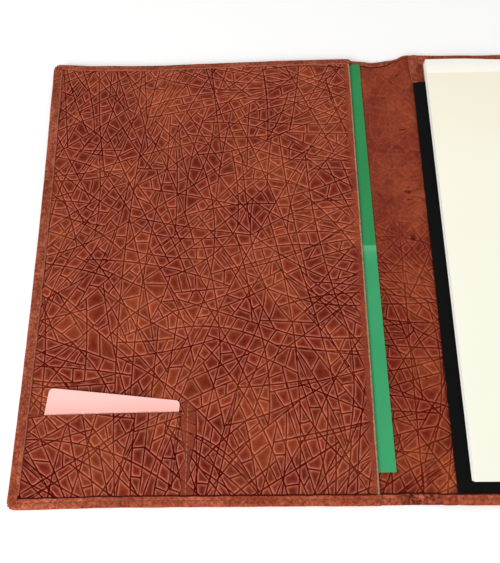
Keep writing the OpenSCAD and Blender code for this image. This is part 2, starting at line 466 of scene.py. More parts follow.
def next_corner(verts, before, here, ways):
    """Takes the way on that keeps closest to the cell's inside, where a cell touches itself."""
    back = verts[before] - verts[here]
    best = min(ways, key=lambda w: -signed_turn(back, verts[w] - verts[here]))
    ways.remove(best)
    return best


def signed_turn(a, b):
    """Angle from direction a to direction b, from 0 to a full turn, counter-clockwise."""
    return math.atan2(a.x * b.y - a.y * b.x, a.dot(b)) % math.tau


def centre_and_area(loop):
    area = cx = cy = 0.0
    loop = [(p[0], p[1]) for p in loop]
    for (xa, ya), (xb, yb) in zip(loop, loop[1:] + loop[:1]):
        cross = xa * yb - xb * ya
        area += cross
        cx += (xa + xb) * cross
        cy += (ya + yb) * cross
    if abs(area) < 1e-9:
        return loop[0], 0.0
    return (cx / (3 * area), cy / (3 * area)), area / 2


def edge_reach(loop, centre):
    """For each corner, how far the two edges that meet there lie from the centre, on average."""
    reach = []
    for (xa, ya), (xb, yb) in zip(loop, loop[1:] + loop[:1]):
        length = math.hypot(xb - xa, yb - ya) or 1e-6
        reach.append(abs((xb - xa) * (centre[1] - ya) - (yb - ya) * (centre[0] - xa)) / length)
    return [max(0.05, (a + b) / 2) for a, b in zip(reach, reach[-1:] + reach[:-1])]


class Surface:
    """One piece of embossed leather while it is made."""

    def __init__(self, points, on_line, height, strength, thickness, up, rubbed, paleness):
        self.points, self.on_line = points, on_line
        self.height, self.strength, self.rubbed = height, strength, rubbed
        self.thickness, self.up, self.paleness = thickness, up, paleness
        self.bm = bmesh.new()
        self.tone = self.bm.verts.layers.float.new("tone")
        self.shade = self.bm.verts.layers.float.new("shade")
        self.face_corners, self.back_corners, self.edges = {}, {}, set()

    def vert(self, x, y, lift, value, tint, on_groove=False):
        v = self.bm.verts.new(settle(x, y, self.height(x, y) + self.up * lift))
        rubbed_tone = RUBBED_LINE if on_groove else RUBBED_CELL
        v[self.tone] = mix(value, rubbed_tone, self.rubbed(x, y)) * self.paleness
        v[self.shade] = tint
        return v

    def corner(self, i):
        if i not in self.face_corners:
            x, y = self.points[i]
            on_groove = i in self.on_line
            sunk = self.strength(x, y) if on_groove else 0.0
            self.face_corners[i] = self.vert(x, y, -DEPTH * sunk, mix(PLAIN_TONE, 0.0, sunk), 0.5,
                                             on_groove)
        return self.face_corners[i]

    def back_corner(self, i):
        if i not in self.back_corners:
            x, y = self.points[i]
            z = self.height(x, y) - self.up * self.thickness
            self.back_corners[i] = self.bm.verts.new(settle(x, y, z))
        return self.back_corners[i]

    def add_cell(self, loop, tint, lean, paint):
        """A cell's back, and its face: rings that rise from the grooves to a flat middle."""
        flat = [self.points[i] for i in loop]
        centre, area = centre_and_area(flat)
        outer = [self.corner(i) for i in loop]
        self.bm.faces.new([self.back_corner(i) for i in reversed(loop)])
        self.edges.update(zip(loop, loop[1:] + loop[:1]))
        if area < SMALLEST_CELL:
            self.bm.faces.new(outer).material_index = paint
            return
        force = self.strength(*centre)
        reach = edge_reach(flat, centre)
        rings = [outer]
        for inset, lift, most in RINGS:
            ring = []
            for i, (x, y), r in zip(loop, flat, reach):
                t = min(inset / r, most)
                px, py = mix(x, centre[0], t), mix(y, centre[1], t)
                tilt = clamp((px - centre[0]) * lean[0] + (py - centre[1]) * lean[1],
                             -LARGEST_TILT, LARGEST_TILT)
                own_lift = lift if i in self.on_line else max(0.0, lift)
                own_tone = tone_at(t * r) if i in self.on_line else PLAIN_TONE
                ring.append(self.vert(px, py, (own_lift + tilt) * force,
                                      mix(PLAIN_TONE, own_tone, force), tint))
            rings.append(ring)
        middle_tone = tone_at(sum(reach) / len(reach))
        top = self.vert(*centre, MIDDLE_LIFT * force, mix(PLAIN_TONE, middle_tone, force), tint)
        count = len(loop)
        for a, b in zip(rings, rings[1:]):
            for face in faces_between(self.bm, a, b):
                face.material_index = paint
        for i in range(count):
            face = self.bm.faces.new((rings[-1][i], rings[-1][(i + 1) % count], top))
            face.material_index = paint

    def close_sides(self):
        """Cut edges wherever a cell has no neighbour."""
        face, back = self.face_corners, self.back_corners
        for i, j in self.edges:
            if (j, i) not in self.edges:
                wall = self.bm.faces.new((face[j], face[i], back[i], back[j]))
                wall.material_index = 1
                for edge in wall.edges:
                    edge.smooth = False
        bmesh.ops.recalc_face_normals(self.bm, faces=self.bm.faces)


def relief(name, x0, x1, y0, y1, height, materials, seed, strength=lambda x, y: 1.0,
           plain_lines=(), keep=lambda x, y: True, is_raw=lambda x, y: False,
           thickness=LEATHER_T, up=1, cut_at=None, rubbed=lambda x, y: 0.0, paleness=1.0):
    """Embossed leather over a rectangle: each cell between the lines is a low worn plateau.
    Where it is rubbed, the lines are pale instead of dark.
    Returns one piece, or with cut_at the pieces on the two sides of that X."""
    rng = random.Random(seed)
    drawn = DrawnLines()
    lines = emboss_lines(x0, x1, y0, y1, rng, drawn)
    points, cells, _ = arrangement(x0, x1, y0, y1, lines)
    lines += dividing_lines(cells, points, (x0, x1, y0, y1), rng, drawn)
    plain_lines = list(plain_lines)
    if cut_at is not None:
        plain_lines.append([(cut_at, y0), (cut_at, y1)])
    points, cells, on_line = arrangement(x0, x1, y0, y1, lines, plain_lines)
    pieces = []
    for side, suffix in ((0, ""),) if cut_at is None else ((-1, "_a"), (1, "_b")):
        surface = Surface(points, on_line, height, strength, thickness, up, rubbed, paleness)
        cell_rng = random.Random(seed + 1)
        for loop, spot in cells:
            centre, _ = centre_and_area([points[i] for i in loop])
            tint = cell_rng.random()
            lean = (cell_rng.gauss(0, LEAN), cell_rng.gauss(0, LEAN))
            on_this_side = side == 0 or (centre[0] - cut_at) * side >= 0
            if keep(*spot) and on_this_side:
                surface.add_cell(loop, tint, lean, 1 if is_raw(*spot) else 0)
        surface.close_sides()
        pieces.append(new_object(name + suffix, surface.bm, materials))
    return pieces if cut_at is not None else pieces[0]


# ---------------------------------------------------------------- materials

class Nodes:
    """Short calls that build one node material."""

    def __init__(self, name):
        self.material = bpy.data.materials.new(name)
        self.material.use_nodes = True
        self.tree = self.material.node_tree
        self.shader = self.tree.nodes["Principled BSDF"]
        coords = self.tree.nodes.new("ShaderNodeTexCoord")
        self.coords = coords.outputs["Object"]

    def fill(self, socket, value):
        """Gives an input a number, a colour or another node's output."""
        if isinstance(value, (int, float)):
            socket.default_value = value
        elif isinstance(value, tuple):
            socket.default_value = (*value, 1.0)
        else:
            self.tree.links.new(value, socket)

    def make(self, kind, **inputs):
        node = self.tree.nodes.new("ShaderNode" + kind)
        for key, value in inputs.items():
            self.fill(node.inputs[key.replace("_", " ")], value)
        return node

    def finish(self, **inputs):
        """Sets the shader's own inputs and gives the material."""
        for key, value in inputs.items():
            self.fill(self.shader.inputs[key.replace("_", " ")], value)
        return self.material

    def noise(self, scale, detail, rough=0.55):
        node = self.make("TexNoise", Scale=scale, Detail=detail, Roughness=rough,
                         Vector=self.coords)
        return node.outputs["Fac"]

    def voronoi(self, scale, feature="F1"):
        node = self.make("TexVoronoi", Scale=scale, Vector=self.coords)
        node.feature = feature
        return node.outputs["Distance"]

    def wave(self, scale, direction, distortion):
        node = self.make("TexWave", Scale=scale, Distortion=distortion, Vector=self.coords)
        node.bands_direction = direction
        return node.outputs["Fac"]

    def attribute(self, name):
        node = self.make("Attribute")
        node.attribute_name = name
        return node.outputs["Fac"]

    def along(self, name, start, end, most=1.0):
        """Goes from 0 to most between two places on an axis, given in millimetres."""
        axis = self.make("SeparateXYZ", Vector=self.coords).outputs[name]
        return self.span(axis, start * MM, end * MM, 0.0, most)

    def ramp(self, value, *stops):
        node = self.make("ValToRGB", Fac=value)
        elements = node.color_ramp.elements
        while len(elements) < len(stops):
            elements.new(0.5)
        for element, (place, colour) in zip(elements, stops):
            element.position = place
            element.color = (*colour, 1.0)
        return node.outputs["Color"]

    def span(self, value, from_low, from_high, low, high):
        node = self.make("MapRange", From_Min=from_low, From_Max=from_high, To_Min=low,
                         To_Max=high, Value=value)
        return node.outputs["Result"]

    def patchy(self, scale, detail, low, high):
        """Soft patches between two values."""
        return self.span(self.noise(scale, detail), 0.3, 0.7, low, high)

    def blend(self, amount, a, b, mode="MIX"):
        node = self.make("Mix")
        node.data_type = "RGBA"
        node.blend_type = mode
        for index, value in ((0, amount), (6, a), (7, b)):
            self.fill(node.inputs[index], value)
        return node.outputs[2]

    def math(self, operation, a, b):
        node = self.make("Math")
        node.operation = operation
        for socket, value in zip(node.inputs, (a, b)):
            self.fill(socket, value)
        return node.outputs[0]

    def bump(self, height, strength, distance):
        node = self.make("Bump", Strength=strength, Distance=distance, Height=height)
        self.fill(self.shader.inputs["Normal"], node.outputs["Normal"])

    def colour(self, value):
        self.fill(self.shader.inputs["Base Color"], value)


GROOVE = (0.095, 0.003, 0.0003)
CELL = (0.165, 0.020, 0.0095)
# Pale colour of the cells' rims beside the grooves: a painted highlight, where the bevel catches
# the light.
RIM_HIGHLIGHT = (0.52, 0.160, 0.112)
ORANGE = (0.50, 0.12, 0.03)


def embossed_leather():
    n = Nodes("embossed_leather")
    tone = n.ramp(n.attribute("tone"), (0.0, GROOVE), (0.08, GROOVE), (0.24, CELL),
                  (0.7, (0.33, 0.078, 0.047)), (1.0, RIM_HIGHLIGHT))
    patches = n.ramp(n.noise(26, 5, 0.6), (0.42, (0, 0, 0)), (0.72, (1, 1, 1)))
    warm = n.blend(n.span(patches, 0, 1, 0.0, 0.32), tone, ORANGE, "SCREEN")
    mottled = n.blend(0.55, warm, n.ramp(n.noise(420, 6, 0.7), (0.3, (0.45, 0.42, 0.42)),
                                         (0.7, (1.25, 1.2, 1.2))), "MULTIPLY")
    cells = n.blend(0.8, mottled, n.ramp(n.attribute("shade"), (0.0, (0.84, 0.83, 0.83)),
                                         (1.0, (1.16, 1.15, 1.15))), "MULTIPLY")
    n.colour(cells)
    grain = n.math("ADD", n.noise(1400, 5, 0.65), n.voronoi(900))
    n.bump(grain, 0.35, 0.0004)
    return n.finish(Roughness=n.patchy(160, 3, 0.5, 0.7), Specular_IOR_Level=0.01)


def hem_leather():
    n = Nodes("hem_leather")
    base = n.ramp(n.noise(70, 6, 0.65), (0.30, (0.185, 0.031, 0.014)), (0.5, (0.275, 0.060, 0.031)),
                  (0.70, (0.37, 0.098, 0.054)))
    low_down = n.along("Y", -HALF_H + HEM_W + 0.5, -HALF_H + HEM_W - 0.5)
    over_spine = n.math("MULTIPLY", n.along("X", -20, -8), n.along("X", 20, 5))
    gathered = n.math("MULTIPLY", low_down, over_spine)
    # Painted light: the hem is made brighter towards the bottom, where it faces the lamp.
    base = n.blend(n.along("Y", -80, -155, 0.85), base, (1.28, 1.24, 1.20), "MULTIPLY")
    dark = n.ramp(n.noise(330, 3, 0.6), (0.42, (0.25, 0.16, 0.14)), (0.6, (1.0, 1.0, 1.0)))
    base = n.blend(gathered, base, n.blend(1.0, base, dark, "MULTIPLY"))
    creases = n.ramp(n.voronoi(175, "DISTANCE_TO_EDGE"), (0.0, (0.55, 0.42, 0.40)),
                     (0.07, (1.0, 1.0, 1.0)))
    lined = n.blend(0.6, base, creases, "MULTIPLY")
    fine = n.blend(1.0, lined, n.ramp(n.noise(480, 5, 0.75), (0.34, (0.54, 0.38, 0.32)),
                                      (0.66, (1.55, 1.78, 1.82))), "MULTIPLY")
    n.colour(fine)
    pebble = n.math("ADD", n.voronoi(1100, "SMOOTH_F1"), n.noise(500, 4))
    n.bump(pebble, 0.5, 0.0005)
    return n.finish(Roughness=n.patchy(240, 3, 0.5, 0.7), Specular_IOR_Level=0.03)


def raw_edge(name, dark, light):
    n = Nodes(name)
    n.colour(n.ramp(n.noise(700, 5, 0.7), (0.3, dark), (0.7, light)))
    n.bump(n.noise(2600, 4), 0.5, 0.0003)
    return n.finish(Roughness=0.85, Specular_IOR_Level=0.1)


def thread(name, dark, light):
    n = Nodes(name)
    twist = n.wave(900, "DIAGONAL", 1.5)
    two_tones = n.ramp(twist, (0.0, dark), (1.0, light))
    n.colour(n.blend(n.patchy(600, 3, 0.2, 0.8), two_tones, light))
    n.bump(twist, 0.6, 0.0002)
    return n.finish(Roughness=0.8, Specular_IOR_Level=0.1)


def paper(name, dark, light, rough):
    n = Nodes(name)
    cloud = n.ramp(n.noise(18, 4, 0.5), (0.3, dark), (0.7, light))
    n.colour(n.blend(0.12, cloud, n.ramp(n.noise(2200, 3, 0.7), (0.3, (0.86, 0.86, 0.86)),
                                         (0.7, (1.0, 1.0, 1.0))), "MULTIPLY"))
    n.bump(n.noise(1800, 5, 0.6), 0.1, 0.0002)
    return n.finish(Roughness=rough, Specular_IOR_Level=0.3)


def green_paper():
    n = Nodes("green_paper")
    upper = n.ramp(n.noise(30, 5, 0.6), (0.3, (0.022, 0.225, 0.070)), (0.7, (0.032, 0.265, 0.090)))
    lower = n.ramp(n.noise(30, 5, 0.6), (0.3, (0.038, 0.315, 0.125)), (0.7, (0.050, 0.355, 0.148)))
    halves = n.blend(n.along("Y", CREASE_Y + 0.5, CREASE_Y - 0.5), upper, lower)
    # Painted highlight: a pale band just below the crease, where the curved paper catches the
    # light.
    crease_highlight = n.ramp(n.along("Y", CREASE_Y - 12, CREASE_Y),
                   (0.0, (0, 0, 0)), (0.5, (0.25, 0.25, 0.25)), (0.82, (1, 1, 1)),
                   (0.96, (1, 1, 1)), (1.0, (0, 0, 0)))
    n.colour(n.blend(n.math("MULTIPLY", crease_highlight, 0.75), halves, (0.105, 0.43, 0.20)))
    n.bump(n.noise(1500, 5, 0.6), 0.3, 0.0002)
    return n.finish(Roughness=0.75, Specular_IOR_Level=0.15)


def pink_card():
    """Pale pink card, a little deeper near the slit: painted shade from the flap's lip."""
    n = Nodes("pink_card")
    cloud = n.ramp(n.noise(18, 4, 0.5), (0.3, (0.91, 0.51, 0.47)), (0.7, (0.95, 0.56, 0.52)))
    # Painted shade: the card's colour is deepened just above the slit, where the flap's lip shades
    # it.
    slit_shade = n.along("Y", SLIT_Y + 9, SLIT_Y + 2)
    n.colour(n.blend(n.math("MULTIPLY", slit_shade, 0.8), cloud, (0.87, 0.43, 0.39)))
    n.bump(n.noise(1800, 5, 0.6), 0.12, 0.0002)
    return n.finish(Roughness=0.6, Specular_IOR_Level=0.2)


def black_cloth():
    n = Nodes("black_woven_lining")
    weave = n.math("MULTIPLY", n.wave(620, "X", 0.4), n.wave(620, "Y", 0.4))
    n.colour(n.blend(n.patchy(90, 4, 0.0, 1.0),
                     n.ramp(weave, (0.0, (0.002, 0.002, 0.002)), (1.0, (0.006, 0.0065, 0.006))),
                     n.ramp(weave, (0.0, (0.003, 0.003, 0.003)), (1.0, (0.009, 0.009, 0.009)))))
    n.bump(weave, 0.6, 0.0003)
    return n.finish(Roughness=0.8, Sheen_Weight=0.02, Sheen_Roughness=0.4, Specular_IOR_Level=0.08)


def leaves():
    """Cream leaves: plain on top, fine lines of sheet edges on the sides."""
    n = Nodes("cream_leaves")
    lines = n.wave(1500, "Z", 1.2)
    cream = n.blend(n.along("Y", 40, -140), (0.945, 0.925, 0.765), (0.895, 0.88, 0.75))
    cream = n.blend(0.5, cream, n.ramp(n.noise(12, 3, 0.5), (0.3, (0.97, 0.965, 0.95)),
                                       (0.7, (1, 1, 1))), "MULTIPLY")
    # Painted shade: the leaves are darker and yellower towards the head, under the head strip.
    head_shade = n.blend(n.along("Y", 60, 150, 0.75), cream, (0.90, 0.835, 0.635))
    side = n.along("Z", PAGES[1][2], PAGES[1][2] - 0.15)
    sides = n.blend(n.span(lines, 0.0, 1.0, 0.0, 0.10), (0.985, 0.98, 0.94), (0.70, 0.66, 0.56))
    n.colour(n.blend(side, head_shade, sides))
    n.bump(n.noise(1600, 4), 0.15, 0.0001)
    return n.finish(Roughness=0.75, Specular_IOR_Level=0.15)


def grey_board():
    n = Nodes("grey_board")
    n.colour(n.ramp(n.noise(500, 6, 0.75), (0.3, (0.30, 0.24, 0.17)), (0.7, (0.50, 0.42, 0.31))))
    n.bump(n.noise(900, 5), 0.4, 0.0003)
    return n.finish(Roughness=0.9, Specular_IOR_Level=0.2)


EMBOSSED = embossed_leather()
HEM = hem_leather()
RAW = raw_edge("raw_leather_edge", (0.30, 0.12, 0.06), (0.56, 0.33, 0.20))
WORN = raw_edge("worn_hem_edge", (0.24, 0.05, 0.025), (0.45, 0.15, 0.09))
# Painted shadow: near-black for the gap beside the hem's cut end.
GAP_SHADOW = raw_edge("painted_gap_shadow", (0.045, 0.006, 0.003), (0.09, 0.014, 0.007))
SEAM = thread("seam_thread", (0.11, 0.018, 0.008), (0.34, 0.09, 0.045))
TAN = thread("tan_thread", (0.26, 0.10, 0.05), (0.44, 0.21, 0.12))
PINK = pink_card()
GREEN = green_paper()
CLOTH = black_cloth()
LEAVES = leaves()
TAPE_PAPER = paper("white_tape", (0.935, 0.92, 0.835), (0.965, 0.95, 0.865), 0.7)
BOARD = grey_board()
GLUE = paper("padding_glue", (0.82, 0.82, 0.80), (0.92, 0.92, 0.90), 0.35)


# ---------------------------------------------------------------- the outer leather's turned edge

def rim_height(side, x, y):
    """Top of the turned hem at a place on the outline."""
    over_lining = lining_z(x, y) + TURNED_T
    if side < 0:
        return mix(HEM_TOP, over_lining, smooth(PANEL_RIGHT - 1.0, PANEL_RIGHT + 2.5, x))
    if y > 0 and abs(y) > HALF_H - CORNER_R and x < HALF_W - HEM_W:
        at_corner = (HEM_TOP - BACK_HEM_Z) * smooth(HALF_W - 2 * HEM_W, HALF_W - HEM_W, x)
        return mix(over_lining, BACK_HEM_Z, smooth(20, 27, x)) + at_corner
    return mix(over_lining, HEM_TOP, smooth(BLACK[0][0] - 2, BLACK[0][0] + 3, x))


UNDERSIDE_Z = 0.12  # height of the underside's face, a hair inside the turned edge
SPINE_SAMPLE = 0.8  # the outline's samples lie close together near the spine
SIDE_SAMPLE = 2.2
CORNER_STEPS = 24
PLEATS = 3          # in each corner


def outline_samples(side):
    """Points round the outline from the middle of the spine: place, inward direction, the point
    where the hem ends, and how deep a pleat is there."""
    r, top_y, out = CORNER_R, HALF_H, []
    us = [HALF_W - SPINE_SAMPLE * i for i in range(45)]
    us += [mix(us[-1], r, i / 95) for i in range(1, 95)]

    def add(u, v, nu, nv, pleat=0.0):
        x = side * (HALF_W - u)
        top_hem = mix(TOP_HEM_W, SPINE_TOP_HEM_W, smooth(1, 8, x) * smooth(30, 20, x))
        low, high = -top_y + HEM_W, top_y - top_hem
        iv = clamp(v, low, high)
        if abs(nv) > 0.99:
            iv = low if v < 0 else high
        out.append(((u, v), (nu, nv), (max(u, HEM_W), iv), pleat))

    def corner(first, middle_v):
        for i in range(CORNER_STEPS + 1):
            a = math.radians(first - 90 * i / CORNER_STEPS)
            pleat = 0.5 - 0.5 * math.cos(math.tau * PLEATS * i / CORNER_STEPS)
            add(r + r * math.cos(a), middle_v + r * math.sin(a), -math.cos(a), -math.sin(a), pleat)

    for u in us:
        add(u, -top_y, 0, 1)
    corner(270, -top_y + r)
    tall = int((2 * top_y - 2 * r) / SIDE_SAMPLE)
    for i in range(1, tall):
        add(0, mix(-top_y + r, top_y - r, i / tall), 1, 0)
    corner(180, top_y - r)
    for u in reversed(us):
        add(u, top_y, 0, -1)
    return [((side * (HALF_W - u), v), (-side * nu, nv), (side * (HALF_W - iu), iv), pleat)
            for (u, v), (nu, nv), (iu, iv), pleat in out]


def rim_ring(side, sample):
    """One cross-section of the turned edge, as points from the underside round to the inside."""
    (x, y), (nx, ny), (ix, iy), pleat = sample
    top = rim_height(side, x, y) - 0.45 * pleat
    puffy = 0.10 * wave(x, y, 9, 5.0)
    gather = smooth(-20, -8, x) * smooth(26, 14, x)
    puffy += gather * 0.45 * wave(x, y, 2.4, 5.0)
    ragged = 0.45 * wave(x, y, 7, 7.0) + 0.25 * wave(x, y, 2.6, 5.0)
    wx, wy = ix - x, iy - y
    width = math.hypot(wx, wy) or 1.0
    ix, iy = ix + ragged * wx / width, iy + ragged * wy / width
    uneven = 0.22 * wave(x, y, 13, 9.0)

    def at(inward, z):
        inward += 0.3 * pleat + uneven
        return settle(x + nx * inward, y + ny * inward, z)

    def over(f, z):
        ox, oy = x + nx * 0.9, y + ny * 0.9
        return settle(mix(ox, ix, f), mix(oy, iy, f), z)

    return [
        at(4.0, 0.0), at(2.2, 0.04), at(1.1, 0.22), at(0.35, 0.75), at(0.03, 1.5),
        at(0.0, max(1.8, top - 1.5)), at(0.2, top - 0.65), at(0.7, top - 0.12),
        over(0.15, top + 0.06 + puffy), over(0.36, top + 0.04 + puffy), over(0.46, top - 0.1),
        over(0.56, top - 0.1), over(0.66, top + 0.02 + puffy), over(0.88, top - 0.02 + puffy * 0.5),
        over(0.98, top - 0.18), over(1.0, top - 0.55), over(0.96, top - TURNED_T),
        at(LEATHER_T, top - TURNED_T), at(LEATHER_T, LEATHER_T), at(4.0, LEATHER_T),
    ]


HEM_END = (13, 14, 15)  # steps of the cross-section that make the hem's cut end
SEAM_GROOVE = 10        # the cross-section's first point in the groove of the seam
LONGEST_STEP = 8.0      # a longer step in a seam's line is the jump between two stretches


def turned_edge(name, side):
    bm = bmesh.new()
    rings = [[bm.verts.new(p) for p in rim_ring(side, s)] for s in outline_samples(side)]
    for a, b in zip(rings, rings[1:]):
        # Near-black on the hem's cut end over the spine and along the bottom: painted shadow in the
        # gap between hem and lining.
        in_gap_shadow = abs(a[0].co.x) < 0.03 or a[0].co.y < (-HALF_H + HEM_W) * MM
        for i, face in enumerate(faces_between(bm, a, b)):
            if i in HEM_END:
                face.material_index = 2 if in_gap_shadow else 1
    bm.faces.new(rings[0])
    bm.faces.new(rings[-1])
    bmesh.ops.remove_doubles(bm, verts=bm.verts, dist=1e-6)
    bmesh.ops.dissolve_degenerate(bm, edges=bm.edges, dist=1e-7)
    bmesh.ops.recalc_face_normals(bm, faces=bm.faces)
    return new_object(name, bm, [HEM, WORN, GAP_SHADOW])


STITCH_W = 0.55
STITCH_H = 0.42
STITCH_SINK = 0.12
STITCH_GAP = 0.14  # share of the pitch left bare at each end of a stitch
TAN_STITCH_W = 0.6
TAN_STITCH_SINK = 0.14
STITCH_SWELL = ((0.0, 0.35), (0.15, 0.85), (0.5, 1.0), (0.85, 0.85), (1.0, 0.35))


def add_capsule(bm, start, end, width, height, sink):
    """One stitch: a short rounded bar from start to end, standing height less sink above them."""
    direction = end - start
    length = direction.length
    direction.normalize()
    across = Vector((0, 0, 1)).cross(direction).normalized()
    rings = []
    for t, swell in STITCH_SWELL:
        middle = start + direction * (length * t)
        ring = []
        for k in range(6):
            a = math.tau * k / 6
            offset = across * (math.cos(a) * width / 2 * swell)
            lift = Vector((0, 0, (math.sin(a) * 0.5 + 0.5) * height * swell - sink))
            ring.append(bm.verts.new(middle + offset + lift))
        rings.append(ring)
    join_rings(bm, rings)


def seam(name, side, x_from, x_to):
    """Single stitches along the turned edge, where x lies between x_from and x_to."""
    bm = bmesh.new()
    line = []
    for sample in outline_samples(side):
        if x_from <= sample[0][0] <= x_to:
            ring = rim_ring(side, sample)
            line.append((ring[SEAM_GROOVE] + ring[SEAM_GROOVE + 1]) / 2)
    travelled, last = 0.0, None
    for a, b in zip(line, line[1:]):
        gap = (b - a).length
        if gap > LONGEST_STEP * MM:
            continue
        place = 0.0
        while travelled + (gap - place) >= PITCH * MM:
            place += PITCH * MM - travelled
            travelled = 0.0
            here = a.lerp(b, place / gap)
            if last is not None and (here - last).length < 1.3 * PITCH * MM:
                direction = here - last
                add_capsule(bm, last + direction * STITCH_GAP, last + direction * (1 - STITCH_GAP),
                            STITCH_W * MM, STITCH_H * MM, STITCH_SINK * MM)
            last = here
        travelled += gap - place
    bmesh.ops.recalc_face_normals(bm, faces=bm.faces)
    return new_object(name, bm, [SEAM])


# ---------------------------------------------------------------- outer covers, turned edges and seams

FOLD_START, FOLD_END = 16.5, 8.5  # distance from the spine's middle where the leather bends


def bend_front(piece):
    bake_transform(piece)


def bend_back(piece):
    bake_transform(piece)


def underside(name, side, seed):
    """The outer leather's flat part: its embossed face looks down."""
    x0, x1 = (-HALF_W + 4, 0) if side < 0 else (0, HALF_W - 4)
    return relief(name, x0, x1, -HALF_H + 4, HALF_H - 4, lambda x, y: UNDERSIDE_Z,
                  [EMBOSSED, HEM], seed, up=-1)


for side, word, bend, seed in ((-1, "front", bend_front, 21), (1, "back", bend_back, 22)):
    edge = turned_edge(word + "_turned_edge", side)
    cover = underside(word + "_outer_cover", side, seed)
    for piece in (edge, cover):
        bend(piece)
    nodes = [word + "_outer_leather"] + (["spine_outer_leather"] if side < 0 else [])
    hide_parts(*nodes)
    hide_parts(word + "_outer_leather")
    seam_x = (-HALF_W, -FOLD_START) if side < 0 else (FOLD_START, HALF_W)
    stitches = seam(word + "_seam_stitches", side, *seam_x)
    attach(stitches, word + "_cover")
    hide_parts(word + "_seam_thread")

for side, word, bend in ((-1, "front", bend_front), (1, "back", bend_back)):
    span = (-FOLD_START, 0) if side < 0 else (0, FOLD_START)
    stitches = seam("spine_seam_stitches_" + word, side, *span)
    bend(stitches)
    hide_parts("spine_seam_thread")


# ---------------------------------------------------------------- lining leather over the spine

def lining_strength(x, y):
    """The emboss is worn over the spine, most of all near the top, where it is smooth."""
    worn = mix(0.85, 0.35, smooth(-60, 60, y)) * smooth(150, 128, y)
    return mix(0.9, worn, smooth(-30, -20, x))


def lining_rubbed(x, y):
    """The upper half of the spine is rubbed."""
    return 0.85 * smooth(-10, 75, y) * smooth(-32, -20, x)


# paleness 0.84 makes the spine lining darker: painted shade, as the spine lies lower between the
# covers.
lining_a, lining_b = relief(
    "spine_lining", -48, 22, LINING[0][1] + 0.6, LINING[1][1] - 0.6, lining_z, [EMBOSSED, RAW], 31,
    lining_strength, thickness=LINING_T, cut_at=0.0, rubbed=lining_rubbed, paleness=0.84)
bend_front(lining_a)
bend_back(lining_b)
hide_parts("front_lining_leather", "spine_lining_leather")
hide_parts("spine_lining_leather", "back_lining_strip")


# ---------------------------------------------------------------- document pocket panel

HOLE_R = 1.0      # radius of the holes at the slit's ends
LENS_LOW, LENS_HIGH = -0.25, 0.55  # the slit's edges when fully open
EDGE_STRIP = 1.0  # width of the worn raw edge beside the green sheet
EDGE_CURL = 0.7   # how far that edge has curled up
FLAP_END = 1.6    # width over which the flap comes down beside the card
PANEL_Y = (-HALF_H + 5, HALF_H - 2.6)


def slit_lens(x):
    """Opening of the slit as a share of its full opening: it closes just before its holes."""
    return clamp(x - SLIT_X[0]) * clamp(SLIT_X[1] - x)


def slit_y(x):
    return SLIT_Y + SLIT_RISE * (x - (SLIT_X[0] + SLIT_X[1]) / 2)


def card_right(y):
    """Where the card's right side lies at a height on the cover."""
    left = CARD_LOW[0] + (y - CARD_LOW[1]) * math.tan(CARD_TILT)
    return left + CARD_SIZE[0] / math.cos(CARD_TILT)


def panel_height(x, y):
    """The panel lies flat, except that the card lifts the flap below the slit."""
    right = card_right(y)
    left = right - CARD_SIZE[0] / math.cos(CARD_TILT)
    over = smooth(left - 4.5, left + 0.3, x) * smooth(right + FLAP_END, right, x)
    rise = 0.7 * smooth(-HALF_H + HEM_W - 3, -HALF_H + 12, y)
    rise += 0.95 * clamp((y + HALF_H - 17) / (SLIT_Y + HALF_H - 17))
    if y > slit_y(x) + 0.01:
        rise = 0.0
    edge = EDGE_CURL * smooth(PANEL_RIGHT - 6, PANEL_RIGHT - 1, x)
    edge -= 0.3 * smooth(PANEL_RIGHT - EDGE_STRIP, PANEL_RIGHT, x)
    return PANEL_TOP + over * rise + edge + 0.08 * wave(x, y, 60, 8.0)


def panel_strength(x, y):
    """The emboss is pressed flat under the tan stitch row and fades towards the hems."""
    beside_row = smooth(3.4, 2.2, abs(x - ROW_X)) * smooth(ROW[1][1] + 3, ROW[1][1] + 1, y)
    at_hem = smooth(-HALF_W + HEM_W - 1, -HALF_W + HEM_W + 3, x)
    at_free_edge = smooth(PANEL_RIGHT - 5.5, PANEL_RIGHT - 2.5, x)
    return (1 - 0.85 * beside_row) * mix(0.6, 1.0, at_hem) * mix(1.0, 0.3, at_free_edge)


def raw_edge_x(y):
    """Where the worn raw edge begins."""
    return PANEL_RIGHT - EDGE_STRIP + 0.3 * wave(0, y, 4, 2)


def slit_lines():
    """Lines that cut the panel: the slit with its holes, the raw edge's start, the flap's sides."""
    middle = [mix(SLIT_X[0], SLIT_X[1], i / 30) for i in range(1, 30)]
    xs = [SLIT_X[0], SLIT_X[0] + 1, *middle, SLIT_X[1] - 1, SLIT_X[1]]
    lower = [(x, slit_y(x) + LENS_LOW * slit_lens(x)) for x in xs]
    upper = [(x, slit_y(x) + LENS_HIGH * slit_lens(x)) for x in xs]
    circles = [arc(cx, slit_y(cx), HOLE_R, 0, 360, 12) for cx in SLIT_X]
    ys = [mix(*PANEL_Y, i / 155) for i in range(156)]
    raw_edge_line = [(raw_edge_x(y), y) for y in ys]
    low, high = PANEL_Y[0] + 1, slit_y(SLIT_X[1]) - 1.5
    beside_card = []
    for offset in (0.1, FLAP_END):
        beside_card.append([(card_right(y) + offset, y) for y in (low, high)])
    beyond = [[(x, slit_y(x)) for x in ends]
              for ends in ((-HALF_W + 5, SLIT_X[0]), (SLIT_X[1], SLIT_X[1] + 9))]
    return [lower, upper, raw_edge_line] + circles + beside_card + beyond


def in_edge_strip(x, y):
    return x > raw_edge_x(y)


def outside_slit(x, y):
    half = slit_lens(x)
    above = y - slit_y(x)
    in_lens = SLIT_X[0] < x < SLIT_X[1] and LENS_LOW * half < above < LENS_HIGH * half
    in_hole = min(math.dist((x, y), (cx, slit_y(cx))) for cx in SLIT_X) < HOLE_R
    return not (in_lens or in_hole)


